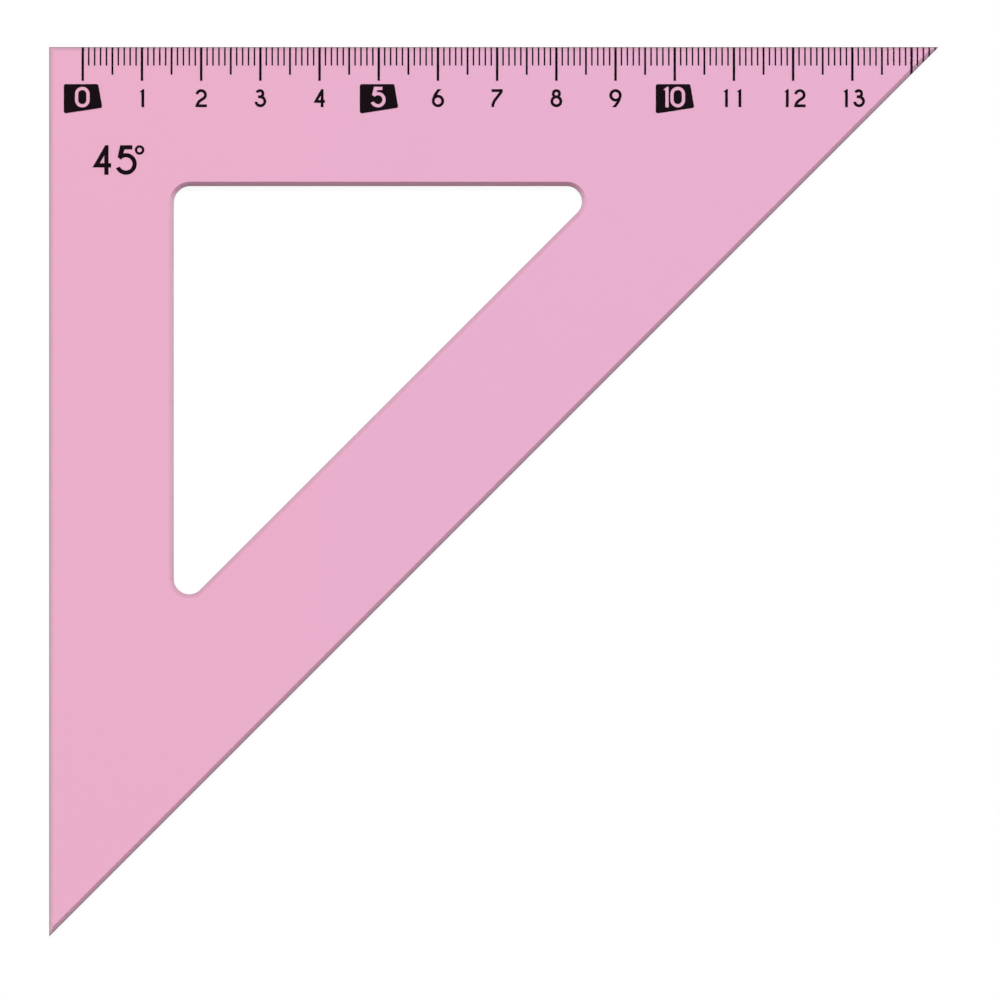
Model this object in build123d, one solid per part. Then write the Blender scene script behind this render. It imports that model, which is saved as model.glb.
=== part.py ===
from build123d import *
import os
from math import cos, radians, sin, sqrt

# A 45 degree drafting triangle: one moulded plate with a triangular window, and a
# centimetre scale printed along one leg. Millimetres. The outer right-angle corner is
# at the origin, on the underside. The graduated leg runs along +X, the plain leg
# along -Y, and +Z points out of the printed face.

# Plate
leg_length = 150.3
plate_thickness = 2.0
edge_bevel_width = 0.7
edge_bevel_depth = 0.7

# Window, by the width of the bar between it and each outer edge
scale_bar_width = 23.47
plain_bar_width = 21.03
slant_bar_width = 23.4
window_corner_radius = 2.85
window_tip_radius = 2.62

# Print
ink_thickness = 0.03

# Strokes of the scale, which start at the graduated edge
scale_start = 5.71
millimetre_pitch = 1.0
centimetre_tick_length = 5.73
centimetre_tick_width = 0.42
half_tick_length = 4.7
half_tick_width = 0.33
millimetre_tick_length = 3.15
millimetre_tick_width = 0.26
ticks_per_centimetre = 10
ticks_per_half = 5

# Plain numbers, under the centimetre strokes; the eleven sits a little to the left
numeral_gap = 1.4
numeral_height = 3.05
numeral_stroke = 0.48
numeral_spacing = 2.27
eleven_shift = 0.27

# Flags with open numbers, at every fifth centimetre
flag_interval = 5
flag_gap = 0.55
flag_left_reach = 3.21
flag_top_reach = 2.62
flag_foot_reach = 3.31
flag_left_height = 5.0
flag_right_height = 4.0
flag_corner_radius = 0.35
flag_digit_top_gap = 0.45
flag_digit_height = 3.48
flag_digit_stroke = 0.55
flag_digit_spacing = 1.98
flag_digit_shift = 0.08

# Plain angle mark in the corner of the two bars
mark_height = 5.0
mark_stroke = 0.72
mark_spacing = 4.0
mark_ring_offset = 4.3
mark_ring_radius = 0.6
mark_ring_stroke = 0.42
mark_side_gap = 11.0
mark_top_gap = 16.6

# Digit outlines, as shares of the digit's height
oval_width_share = 0.715
one_flag_flat_share = 0.07
one_flag_reach_share = 0.095
one_flag_drop_share = 0.14
one_flag_root_share = 0.17
two_bowl_share = 0.237
two_neck_share = 0.15
two_base_share = 0.319
small_bowl_share = 0.174
three_top_shift_share = 0.03
three_waist_share = 0.128
four_bar_share = 0.32
four_peak_share = 0.04
four_left_share = 0.345
four_stub_share = 0.16
four_offset_share = 0.14
five_bowl_share = 0.295
five_bar_share = 0.217
five_left_share = 0.192
five_root_share = 0.1
six_bowl_share = 0.265
seven_width_share = 0.62
seven_foot_share = 0.247
seven_bend_share = 0.67

# Digit outlines, angles in degrees
two_start_angle = 172.0
two_bowl_sweep = 230.0
two_foot_sweep = 53.0
three_top_angle = 158.0
three_end_angle = 185.0
five_start_angle = 140.0
five_end_angle = 203.0
six_root_angle = 165.0
six_stem_turn = 31.0
seven_slope_angle = 53.0


# Plate

def right_triangle(corner_x, corner_y, leg):
    """A right isosceles triangle with its right angle at the top left corner."""
    corner = (corner_x, corner_y)
    return Polygon(corner, (corner_x, corner_y - leg), (corner_x + leg, corner_y), align=None)


def make_plate():
    """The moulded plate, bevelled all round on its printed side."""
    window_leg = leg_length - scale_bar_width - plain_bar_width - slant_bar_width * sqrt(2)
    corner = (plain_bar_width, -scale_bar_width)
    window = right_triangle(*corner, window_leg)
    window = fillet(window.vertices().sort_by_distance(corner)[0], window_corner_radius)
    window = fillet(window.vertices().sort_by_distance(corner)[-2:], window_tip_radius)
    body = extrude(right_triangle(0, 0, leg_length) - window, plate_thickness)
    face = body.faces().sort_by(Axis.Z)[-1]
    return chamfer(face.edges(), edge_bevel_width, edge_bevel_depth, reference=face)


# Scale strokes

def make_ticks(numbers, length, width, skin):
    """Strokes that follow the printed face over its bevels, cut off where the plate ends."""
    depth = 2 * (plate_thickness + ink_thickness)
    ticks = []
    for number in numbers:
        x = scale_start + number * millimetre_pitch
        ticks += (skin & Pos(x, 0) * Box(width, 2 * length, depth)).solids()
    return Compound(ticks)


# Digits, each a flat outline on a baseline at y = 0 and centred on x = 0

def ring(radius, stroke):
    return Circle(radius + stroke / 2) - Circle(radius - stroke / 2)


def draw(lines, stroke):
    """The outline of a pen stroke that follows lines, with square ends."""
    return Sketch() + trace(lines, stroke)


def between_lines(outline, height):
    """Trims a drawn stroke to the baseline and the top line of its digit."""
    return outline & Pos(0, height / 2) * Rectangle(2 * height, height)


def zero(height, stroke):
    width = height * oval_width_share
    outside = SlotOverall(height, width, rotation=90)
    inside = SlotOverall(height - 2 * stroke, width - 2 * stroke, rotation=90)
    return Pos(0, height / 2) * (outside - inside)


def one(height, stroke):
    reach = height * one_flag_reach_share
    right = (stroke + reach) / 2
    left = right - stroke
    return Polygon(
        (right, 0),
        (right, height),
        (right - height * one_flag_flat_share, height),
        (left - reach, height * (1 - one_flag_drop_share)),
        (left, height * (1 - one_flag_root_share)),
        (left, 0),
        align=None,
    )


def two(height, stroke):
    radius = height * two_bowl_share
    bowl = CenterArc((0, height - stroke / 2 - radius), radius, two_start_angle, -two_bowl_sweep)
    slope = Line(bowl @ 1, bowl @ 1 + (bowl % 1) * height * two_neck_share)
    heading = two_start_angle - two_bowl_sweep - 90
    end_heading = heading + two_foot_sweep
    foot_radius = (slope @ 1).Y / (cos(radians(end_heading)) - cos(radians(heading)))
    foot = JernArc(slope @ 1, slope % 1, foot_radius, two_foot_sweep)
    left = (foot @ 1).X
    base = Pos(left, 0) * Rectangle(height * two_base_share - left, stroke, align=Align.MIN)
    return between_lines(draw([bowl, slope, foot], stroke), height) + base


def bowl_radii(height, stroke):
    """Centre-line radii of the small upper bowl and the large lower one."""
    upper = height * small_bowl_share
    return upper, (height - stroke) / 2 - upper


def three(height, stroke):
    upper, lower = bowl_radii(height, stroke)
    waist = stroke / 2 + 2 * lower
    top_x = -height * three_top_shift_share
    top = CenterArc((top_x, waist + upper), upper, three_top_angle, -three_top_angle - 90)
    bottom = CenterArc((0, waist - lower), lower, 90, three_end_angle - 360 - 90)
    bar = Line((-height * three_waist_share, waist), (0, waist))
    return draw(top, stroke) + draw(bottom, stroke) + draw(bar, stroke)


def four(height, stroke):
    stem = height * four_offset_share
    bar = height * four_bar_share
    peak = (stem + height * four_peak_share, height)
    slope = Line(peak, (stem - height * four_left_share, bar))
    arm = Line(slope @ 1, (stem + height * four_stub_share, bar))
    upright = Pos(stem, height / 2) * Rectangle(stroke, height)
    outward = Vector((slope % 0).Y, -(slope % 0).X) * stroke
    beyond_slope = draw(Line(slope @ 0 + outward, slope @ 1 + outward), stroke)
    beyond_upright = Pos(stem + stroke / 2, bar + stroke / 2) * Rectangle(height, height, align=Align.MIN)
    outline = draw([slope, arm], stroke) - beyond_upright + (upright - beyond_slope)
    return between_lines(outline, height)


def five(height, stroke):
    radius = height * five_bowl_share
    middle = radius + stroke / 2
    bowl = CenterArc((0, middle), radius, five_start_angle, five_end_angle - 360 - five_start_angle)
    start = radians(five_start_angle)
    outer_radius = radius + stroke / 2
    left = -height * five_left_share
    stem = Polygon(
        (left, height),
        (outer_radius * cos(start), middle + outer_radius * sin(start)),
        bowl @ five_root_share,
        (left + stroke, height - stroke),
        align=None,
    )
    bar = Line((left, height - stroke / 2), (height * five_bar_share, height - stroke / 2))
    return draw(bar, stroke) + stem + draw(bowl, stroke)


def six(height, stroke):
    radius = height * six_bowl_share
    middle = radius + stroke / 2
    root = radians(six_root_angle)
    root_y = middle + radius * sin(root)
    heading = radians(six_root_angle - 90)
    tip_heading = radians(six_root_angle - 90 - six_stem_turn)
    stem_radius = (height - root_y) / (cos(tip_heading) - cos(heading))
    stem = JernArc((radius * cos(root), root_y), (cos(heading), sin(heading)), stem_radius, -six_stem_turn)
    tip = Line(stem @ 1, stem @ 1 + (stem % 1) * stroke)
    return between_lines(draw([stem, tip], stroke), height) + Pos(0, middle) * ring(radius, stroke)


def seven(height, stroke):
    width = height * seven_width_share
    foot = (-height * seven_foot_share, 0)
    bend = JernArc(foot, (0, 1), height * seven_bend_share, seven_slope_angle - 90)
    run = (height - (bend @ 1).Y) / sin(radians(seven_slope_angle)) + stroke
    slope = Line(bend @ 1, bend @ 1 + (bend % 1) * run)
    limits = Pos(0, height / 2) * Rectangle(width, height)
    bar = Pos(0, height - stroke / 2) * Rectangle(width, stroke)
    return (draw([bend, slope], stroke) & limits) + bar


def eight(height, stroke):
    upper, lower = bowl_radii(height, stroke)
    waist = stroke / 2 + 2 * lower
    return Pos(0, waist + upper) * ring(upper, stroke) + Pos(0, waist - lower) * ring(lower, stroke)


def nine(height, stroke):
    return Pos(0, height) * Rot(0, 0, 180) * six(height, stroke)


digits = [zero, one, two, three, four, five, six, seven, eight, nine]


def number_outline(number, height, stroke, spacing):
    """The digits of a number side by side, centred on x = 0."""
    text = str(number)
    outlines = []
    for place, digit in enumerate(text):
        x = (place - (len(text) - 1) / 2) * spacing
        outlines.append(Pos(x, 0) * digits[int(digit)](height, stroke))
    return Sketch() + outlines


# Printed numbers

numeral_baseline = centimetre_tick_length + numeral_gap + numeral_height


def print_on_plate(outline, x, y):
    """A layer of ink in the shape of an outline, on the printed face."""
    return extrude(Pos(x, y, plate_thickness) * outline, ink_thickness, dir=(0, 0, 1))


def make_numeral(number):
    outline = number_outline(number, numeral_height, numeral_stroke, numeral_spacing)
    x = scale_start + number * ticks_per_centimetre * millimetre_pitch
    if number == 11:
        x -= eleven_shift
    return print_on_plate(outline, x, -numeral_baseline)


def make_flag(number):
    """A flag with a slanted foot and fly, and its number left open."""
    top = -centimetre_tick_length - flag_gap
    flag = Polygon(
        (-flag_left_reach, top),
        (-flag_left_reach, top - flag_left_height),
        (flag_foot_reach, top - flag_right_height),
        (flag_top_reach, top),
        align=None,
    )
    flag = fillet(flag.vertices(), flag_corner_radius)
    outline = number_outline(number, flag_digit_height, flag_digit_stroke, flag_digit_spacing)
    middle = outline.bounding_box().center().X
    baseline = top - flag_digit_top_gap - flag_digit_height
    x = scale_start + number * ticks_per_centimetre * millimetre_pitch
    number_place = Pos(-middle - flag_digit_shift, baseline)
    return print_on_plate(flag - number_place * outline, x, 0)


def make_angle_mark():
    """A plain 45 with a degree ring."""
    outline = number_outline(45, mark_height, mark_stroke, mark_spacing)
    outer_radius = mark_ring_radius + mark_ring_stroke / 2
    degree = Pos(mark_ring_offset, mark_height - outer_radius) * ring(mark_ring_radius, mark_ring_stroke)
    return print_on_plate(outline + degree, mark_side_gap, -mark_top_gap - mark_height)


# Which strokes and numbers the leg has room for

tick_count = int((leg_length - scale_start) / millimetre_pitch) + 1
tick_numbers = range(tick_count)
centimetres = [n for n in tick_numbers if n % ticks_per_centimetre == 0]
halves = [n for n in tick_numbers if n % ticks_per_half == 0 and n not in centimetres]
millimetres = [n for n in tick_numbers if n % ticks_per_half]

bevel_run = edge_bevel_width * sqrt(2)
number_room = leg_length - numeral_baseline - numeral_spacing - bevel_run - scale_start
last_number = int(number_room / (ticks_per_centimetre * millimetre_pitch))

plate = make_plate()
ink_skin = Pos(0, 0, ink_thickness) * plate - plate

nodes = {
    "plate": plate,
    "centimetre_ticks": make_ticks(centimetres, centimetre_tick_length, centimetre_tick_width, ink_skin),
    "half_centimetre_ticks": make_ticks(halves, half_tick_length, half_tick_width, ink_skin),
    "millimetre_ticks": make_ticks(millimetres, millimetre_tick_length, millimetre_tick_width, ink_skin),
    "angle_mark": make_angle_mark(),
}
for number in range(last_number + 1):
    if number % flag_interval == 0:
        nodes[f"flag_{number}"] = make_flag(number)
    else:
        nodes[f"numeral_{number}"] = make_numeral(number)

os.makedirs("parts", exist_ok=True)
for name, shape in nodes.items():
    export_step(shape, f"parts/{name}.step")
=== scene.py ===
from math import cos, pi, radians, sin, sqrt

import bmesh
import bpy
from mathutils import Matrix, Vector


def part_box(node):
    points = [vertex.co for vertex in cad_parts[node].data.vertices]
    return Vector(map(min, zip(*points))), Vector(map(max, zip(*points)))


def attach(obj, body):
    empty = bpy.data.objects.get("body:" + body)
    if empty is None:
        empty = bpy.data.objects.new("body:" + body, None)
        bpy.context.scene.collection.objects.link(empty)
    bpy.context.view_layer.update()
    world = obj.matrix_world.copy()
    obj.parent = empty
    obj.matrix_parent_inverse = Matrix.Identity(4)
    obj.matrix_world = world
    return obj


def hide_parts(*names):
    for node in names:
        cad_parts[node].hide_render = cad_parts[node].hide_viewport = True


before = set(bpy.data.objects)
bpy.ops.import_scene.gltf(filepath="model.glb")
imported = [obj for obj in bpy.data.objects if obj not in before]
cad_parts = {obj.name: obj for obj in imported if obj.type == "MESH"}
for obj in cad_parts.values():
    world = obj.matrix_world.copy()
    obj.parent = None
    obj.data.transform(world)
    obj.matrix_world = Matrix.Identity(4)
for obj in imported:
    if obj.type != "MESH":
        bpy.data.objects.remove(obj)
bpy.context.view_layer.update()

# A 45 degree drafting triangle of tinted plastic, lying printed side up and seen from straight above.
# Metres, in the frame of the solids: the right-angle corner is at the origin, the graduated leg runs
# along +X, the plain leg along -Y, and the printed face looks up.

MM = 0.001

# Sizes of the plate
plate_low, plate_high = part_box("plate")
leg = plate_high.x - plate_low.x
thickness = plate_high.z - plate_low.z
scale_bar = 23.47 * MM
plain_bar = 21.03 * MM
slant_bar = 23.4 * MM
window_corner = 2.85 * MM
window_tip = 2.62 * MM
window_corner_sides = 96
window_core_height = 3 * thickness
bevel_width = 0.7 * MM
edge_rounding = 0.03 * MM
edge_steps = 4

# Angles between faces: those that count as one flat face, those whose edge is rounded, and those that
# are shaded as one smooth surface
flat_angle = radians(0.5)
sharp_angle = radians(30)
smooth_angle = radians(40)

# Places where the plastic changes its tint, and where a painted line of shade darkens its outer edges
rim_shade_width = 0.2 * MM
rim_shade_core = 0.6 * rim_shade_width
face_skin = 0.0005 * MM
near_pink_end = 0.15 * leg
far_pink_start = 0.45 * leg

# The range in which most of a noise pattern lies
noise_low = 0.3
noise_high = 0.7

# Sizes of the picture
view_centre_x = 76.19 * MM
view_centre_y = -76.54 * MM
view_width = 168.93 * MM
camera_lens = 400.0
sensor_width = 36.0

# Sizes of the studio, with azimuths that turn from +Y towards +X
floor_size = 16.0
floor_gap = 0.02 * MM
lamp_distance = 10.0
key_azimuth = 0.0
key_elevation = radians(63)
key_width = 4.0
key_height = 3.0
key_level = 0.889
fill_azimuth = radians(87)
fill_elevation = radians(14)
fill_width = 12.0
fill_height = 4.6
fill_level = 0.079


def deselect_all():
    bpy.ops.object.select_all(action="DESELECT")


def work_on(piece):
    """Makes one piece the only selected one, and the active one."""
    deselect_all()
    piece.select_set(True)
    bpy.context.view_layer.objects.active = piece


def select_where(piece, kind, test):
    """In edit mode, selects only the verts or edges of a piece that pass a test."""
    select_modes = {"verts": "VERT", "edges": "EDGE"}
    bpy.ops.mesh.select_mode(type=select_modes[kind])
    bpy.ops.mesh.select_all(action="DESELECT")
    shape = bmesh.from_edit_mesh(piece.data)
    for item in getattr(shape, kind):
        if test(item):
            item.select_set(True)
    bmesh.update_edit_mesh(piece.data)


def apply_place(piece):
    work_on(piece)
    bpy.ops.object.transform_apply(location=True, rotation=True, scale=True)


def is_past_slant(vert):
    """True for the corner of the square sheet that lies beyond the slanted edge."""
    midway_share = 1.5
    return vert.co.x - vert.co.y > midway_share * leg


def add_slab():
    """A square sheet loses its far corner, is closed as a triangle and drawn up to its thickness."""
    deselect_all()
    bpy.ops.mesh.primitive_plane_add(size=leg, location=(leg / 2, -leg / 2, 0.0))
    slab = bpy.context.object
    apply_place(slab)
    bpy.ops.object.mode_set(mode="EDIT")
    select_where(slab, "verts", is_past_slant)
    bpy.ops.mesh.delete(type="VERT")
    bpy.ops.mesh.select_all(action="SELECT")
    bpy.ops.mesh.edge_face_add()
    bpy.ops.mesh.extrude_region_move(TRANSFORM_OT_translate={"value": (0.0, 0.0, thickness)})
    bpy.ops.mesh.select_all(action="SELECT")
    bpy.ops.mesh.normals_make_consistent(inside=False)
    bpy.ops.object.mode_set(mode="OBJECT")
    return slab


def add_window_core():
    """Round posts stand in the window's three corners, and the skin drawn tight round them is its shape."""
    tip_x = plain_bar + window_tip
    tip_y = -(scale_bar + window_tip)
    slant_reach = leg - (slant_bar + window_tip) * sqrt(2)
    corners = [
        (window_corner, plain_bar + window_corner, -(scale_bar + window_corner)),
        (window_tip, slant_reach + tip_y, tip_y),
        (window_tip, tip_x, tip_x - slant_reach),
    ]
    posts = []
    for radius, middle_x, middle_y in corners:
        deselect_all()
        bpy.ops.mesh.primitive_cylinder_add(
            vertices=window_corner_sides,
            radius=radius,
            depth=window_core_height,
            location=(middle_x, middle_y, thickness / 2),
        )
        apply_place(bpy.context.object)
        posts.append(bpy.context.object)
    for post in posts:
        post.select_set(True)
    bpy.ops.object.join()
    core = bpy.context.object
    bpy.ops.object.mode_set(mode="EDIT")
    bpy.ops.mesh.select_all(action="SELECT")
    bpy.ops.mesh.convex_hull()
    bpy.ops.mesh.select_all(action="SELECT")
    bpy.ops.mesh.normals_make_consistent(inside=False)
    bpy.ops.object.mode_set(mode="OBJECT")
    return core


def cut_out(piece, core):
    """Cuts a core out of a piece and takes the core away."""
    work_on(piece)
    cut = piece.modifiers.new("window", "BOOLEAN")
    cut.operation = "DIFFERENCE"
    cut.solver = "EXACT"
    cut.object = core
    bpy.ops.object.modifier_apply(modifier=cut.name)
    bpy.data.objects.remove(core)


def is_upper_rim(edge):
    """True for an edge where the upper face meets an upright wall."""
    nearly_all = 0.9
    hardly_any = 0.1
    if len(edge.link_faces) != 2:
        return False
    wall_rise, face_rise = sorted(abs(face.normal.z) for face in edge.link_faces)
    lies_on_top = all(vert.co.z > nearly_all * thickness for vert in edge.verts)
    return lies_on_top and wall_rise < hardly_any and face_rise > nearly_all


def bevel_upper_rims(piece):
    work_on(piece)
    bpy.ops.object.mode_set(mode="EDIT")
    bpy.ops.mesh.select_all(action="SELECT")
    bpy.ops.mesh.dissolve_limited(angle_limit=flat_angle)
    select_where(piece, "edges", is_upper_rim)
    bpy.ops.mesh.bevel(offset_type="OFFSET", offset=bevel_width, segments=1, affect="EDGES")
    bpy.ops.object.mode_set(mode="OBJECT")


def soften_edges(piece):
    """Rounds every sharp edge a little, as a mould does, and keeps the flat faces flat in the light."""
    work_on(piece)
    rounding = piece.modifiers.new("rounding", "BEVEL")
    rounding.limit_method = "ANGLE"
    rounding.angle_limit = sharp_angle
    rounding.width = edge_rounding
    rounding.segments = edge_steps
    bpy.ops.object.modifier_apply(modifier=rounding.name)
    bpy.ops.object.shade_smooth_by_angle(angle=smooth_angle)
    flat_light = piece.modifiers.new("flat_light", "WEIGHTED_NORMAL")
    flat_light.mode = "FACE_AREA"
    bpy.ops.object.modifier_apply(modifier=flat_light.name)


def make_plate():
    """The moulded triangle with its window and bevelled edges."""
    plate = add_slab()
    cut_out(plate, add_window_core())
    bevel_upper_rims(plate)
    soften_edges(plate)
    plate.name = "tinted_plate"
    plate.data.name = "tinted_plate"
    return plate


def new_material(name):
    material = bpy.data.materials.new(name)
    material.use_nodes = True
    return material, material.node_tree, material.node_tree.nodes["Principled BSDF"]


def add_noise(tree, coordinates, scale):
    detail = 3.0
    noise = tree.nodes.new("ShaderNodeTexNoise")
    noise.inputs["Scale"].default_value = scale
    noise.inputs["Detail"].default_value = detail
    tree.links.new(coordinates, noise.inputs["Vector"])
    return noise.outputs["Fac"]


def add_range(tree, value, from_low, from_high, to_low, to_high):
    """Maps one range of a value onto another, and holds it at the ends."""
    spread = tree.nodes.new("ShaderNodeMapRange")
    spread.inputs["From Min"].default_value = from_low
    spread.inputs["From Max"].default_value = from_high
    spread.inputs["To Min"].default_value = to_low
    spread.inputs["To Max"].default_value = to_high
    tree.links.new(value, spread.inputs["Value"])
    return spread.outputs["Result"]


def add_rise(tree, value, start, end):
    """A share that rises from 0 to 1 while a value goes from start to end."""
    return add_range(tree, value, start, end, 0.0, 1.0)


def add_uneven_gloss(tree, noise, least_and_most):
    """A roughness that follows a noise pattern between its least and its most."""
    return add_range(tree, noise, noise_low, noise_high, *least_and_most)


def add_mix(tree, share, first, second):
    """Mixes two colours, each a written colour or another node's output."""
    first_colour_socket = 6
    second_colour_socket = 7
    mixed_colour_socket = 2
    mix = tree.nodes.new("ShaderNodeMix")
    mix.data_type = "RGBA"
    tree.links.new(share, mix.inputs["Factor"])
    for number, colour in ((first_colour_socket, first), (second_colour_socket, second)):
        if isinstance(colour, tuple):
            mix.inputs[number].default_value = (*colour, 1.0)
        else:
            tree.links.new(colour, mix.inputs[number])
    return mix.outputs[mixed_colour_socket]


def add_math(tree, operation, first, second):
    """Works one value out of two, each a written number or another node's output."""
    step = tree.nodes.new("ShaderNodeMath")
    step.operation = operation
    for socket, value in zip(step.inputs, (first, second)):
        if isinstance(value, float):
            socket.default_value = value
        else:
            tree.links.new(value, socket)
    return step.outputs["Value"]


def add_outline_distance(tree, x, y):
    """How far a point lies inside the plate's three outer edges, seen from above."""
    from_scale_edge = add_math(tree, "MULTIPLY", y, -1.0)
    across = add_math(tree, "SUBTRACT", x, y)
    from_slant_edge = add_math(tree, "MULTIPLY", add_math(tree, "SUBTRACT", leg, across), sqrt(0.5))
    from_legs = add_math(tree, "MINIMUM", x, from_scale_edge)
    return add_math(tree, "MINIMUM", from_legs, from_slant_edge)


def make_tinted_plastic():
    """Pink moulded plastic: even on the face, with painted shade that makes the bevels greyer and darker than
    the face and a painted dark line of shade along the outer edges, deeper on the walls.
    """
    near_pink = (0.832, 0.427, 0.594)
    far_pink = (0.815, 0.433, 0.62)
    # The dark line colour below is painted shade along the plate's outer edges.
    rim_shade_line = (0.31, 0.17, 0.235)
    # The two bevel colours below are painted shade: greyer and darker than the face, darkest at the bevel's
    # outer foot.
    shaded_bevel_outer = (0.53, 0.327, 0.413)
    shaded_bevel_inner = (0.68, 0.331, 0.472)
    wall_pink = (0.8, 0.28, 0.5)
    face_roughness = (0.14, 0.18)
    rim_roughness = (0.3, 0.36)
    smear_scale = 240.0
    refraction = 1.49
    material, tree, shader = new_material("tinted_plastic")
    place = tree.nodes.new("ShaderNodeTexCoord").outputs["Object"]
    split = tree.nodes.new("ShaderNodeSeparateXYZ")
    tree.links.new(place, split.inputs["Vector"])
    x, y, z = split.outputs

    face = add_mix(tree, add_rise(tree, x, near_pink_end, far_pink_start), near_pink, far_pink)

    bevel_foot = thickness - bevel_width
    # Painted shade: the bevel's colour darkens from its top towards its outer foot.
    bevel_shade_fade = add_rise(tree, z, bevel_foot, thickness - edge_rounding / 2)
    bevel = add_mix(tree, bevel_shade_fade, shaded_bevel_outer, shaded_bevel_inner)
    inside = add_outline_distance(tree, x, y)
    # Painted shade: a dark line along the outer part of the bevels on the three outer edges.
    bevel = add_mix(tree, add_rise(tree, inside, rim_shade_core, rim_shade_width), rim_shade_line, bevel)

    on_bevel = add_rise(tree, z, bevel_foot - edge_rounding, bevel_foot)
    side = add_mix(tree, on_bevel, wall_pink, bevel)
    on_face = add_rise(tree, z, thickness - face_skin, thickness)
    tree.links.new(add_mix(tree, on_face, side, face), shader.inputs["Base Color"])

    smears = add_noise(tree, place, smear_scale)
    gloss = tree.nodes.new("ShaderNodeMix")
    tree.links.new(on_face, gloss.inputs["Factor"])
    tree.links.new(add_uneven_gloss(tree, smears, rim_roughness), gloss.inputs["A"])
    tree.links.new(add_uneven_gloss(tree, smears, face_roughness), gloss.inputs["B"])
    tree.links.new(gloss.outputs["Result"], shader.inputs["Roughness"])
    shader.inputs["IOR"].default_value = refraction
    return material


def make_black_ink():
    """Printed black ink, a little uneven and with a weaker shine than the plastic."""
    thin_ink = (0.0085, 0.004, 0.0066)
    full_ink = (0.0065, 0.0027, 0.005)
    ink_roughness = (0.17, 0.22)
    blotch_scale = 900.0
    shine = 0.12
    material, tree, shader = new_material("black_ink")
    place = tree.nodes.new("ShaderNodeTexCoord").outputs["Object"]
    cover = add_noise(tree, place, blotch_scale)
    tree.links.new(add_mix(tree, cover, thin_ink, full_ink), shader.inputs["Base Color"])
    tree.links.new(add_uneven_gloss(tree, cover, ink_roughness), shader.inputs["Roughness"])
    shader.inputs["Specular IOR Level"].default_value = shine
    return material


def make_floor_paint():
    """White for the eye and for reflections, with enough plain paint in it to hold the object's shadow."""
    paint_grey = (0.3, 0.3, 0.3)
    paint_roughness = 0.9
    glow_share = 0.8
    glow_strength = 1.18
    material, tree, shader = new_material("floor_paint")
    shader.inputs["Base Color"].default_value = (*paint_grey, 1.0)
    shader.inputs["Roughness"].default_value = paint_roughness
    shader.inputs["Specular IOR Level"].default_value = 0.0
    rays = tree.nodes.new("ShaderNodeLightPath")
    seen = rays.outputs["Is Camera Ray"]
    for name in ("Is Glossy Ray", "Is Transmission Ray"):
        seen = add_math(tree, "MAXIMUM", seen, rays.outputs[name])
    glow = tree.nodes.new("ShaderNodeEmission")
    glow.inputs["Strength"].default_value = glow_strength
    mix = tree.nodes.new("ShaderNodeMixShader")
    tree.links.new(add_range(tree, seen, 0.0, 1.0, 0.0, glow_share), mix.inputs["Fac"])
    tree.links.new(shader.outputs["BSDF"], mix.inputs[1])
    tree.links.new(glow.outputs["Emission"], mix.inputs[2])
    tree.links.new(mix.outputs["Shader"], tree.nodes["Material Output"].inputs["Surface"])
    return material


def add_floor():
    deselect_all()
    bpy.ops.mesh.primitive_plane_add(size=floor_size, location=(0.0, 0.0, -floor_gap))
    floor = bpy.context.object
    floor.name = "floor"
    floor.data.materials.append(make_floor_paint())


def add_lamp(name, azimuth, elevation, width, height, level):
    """A large soft lamp. At a level of 1 it alone lights the upper face so that a colour looks as written."""
    centre_of_area = Vector((leg / 3, -leg / 3, thickness))
    towards = Vector((cos(elevation) * sin(azimuth), cos(elevation) * cos(azimuth), sin(elevation)))
    bpy.ops.object.light_add(type="AREA", location=centre_of_area + towards * lamp_distance)
    lamp = bpy.context.object
    lamp.name = name
    lamp.rotation_euler = towards.to_track_quat("Z", "Y").to_euler()
    lamp.data.shape = "RECTANGLE"
    lamp.data.size = width
    lamp.data.size_y = height
    lamp.data.energy = level * (pi * lamp_distance) ** 2 / sin(elevation)


def add_room():
    """The room round the table: bright walls at either side, dimmer ones between them, and dark overhead."""
    side_wall = (3.9, 3.9, 3.9)
    end_wall = (0.35, 0.35, 0.35)
    overhead = (0.03, 0.03, 0.03)
    end_wall_stops = 0.7
    side_wall_starts = 0.97
    overhead_starts = 0.2
    world = bpy.data.worlds.new("studio")
    world.use_nodes = True
    bpy.context.scene.world = world
    tree = world.node_tree
    direction = tree.nodes.new("ShaderNodeTexCoord").outputs["Generated"]
    split = tree.nodes.new("ShaderNodeSeparateXYZ")
    tree.links.new(direction, split.inputs["Vector"])
    sideways = add_math(tree, "ABSOLUTE", split.outputs["X"], 0.0)
    walls = add_mix(tree, add_rise(tree, sideways, end_wall_stops, side_wall_starts), end_wall, side_wall)
    room = add_mix(tree, add_rise(tree, split.outputs["Z"], 0.0, overhead_starts), walls, overhead)
    tree.links.new(room, tree.nodes["Background"].inputs["Color"])


def light_studio():
    """A key lamp high beyond the graduated leg, and a low fill lamp at either side."""
    add_lamp("key_lamp", key_azimuth, key_elevation, key_width, key_height, key_level)
    add_lamp("right_fill", fill_azimuth, fill_elevation, fill_width, fill_height, fill_level)
    add_lamp("left_fill", -fill_azimuth, fill_elevation, fill_width, fill_height, fill_level)
    add_room()


def add_camera():
    """Looks straight down from far above, so that the upright walls hardly show."""
    camera_height = thickness + view_width * camera_lens / sensor_width
    bpy.ops.object.camera_add(
        location=(view_centre_x, view_centre_y, camera_height),
        rotation=(0.0, 0.0, 0.0),
    )
    camera = bpy.context.object
    camera.data.sensor_width = sensor_width
    camera.data.lens = camera_lens
    bpy.context.scene.camera = camera


plate = make_plate()
plate.data.materials.append(make_tinted_plastic())
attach(plate, "root")
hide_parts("plate")

ink = make_black_ink()
for name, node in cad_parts.items():
    if name != "plate":
        for material_slot in node.material_slots:
            material_slot.material = ink

add_floor()
light_studio()
add_camera()
bpy.context.scene.view_settings.view_transform = "Standard"
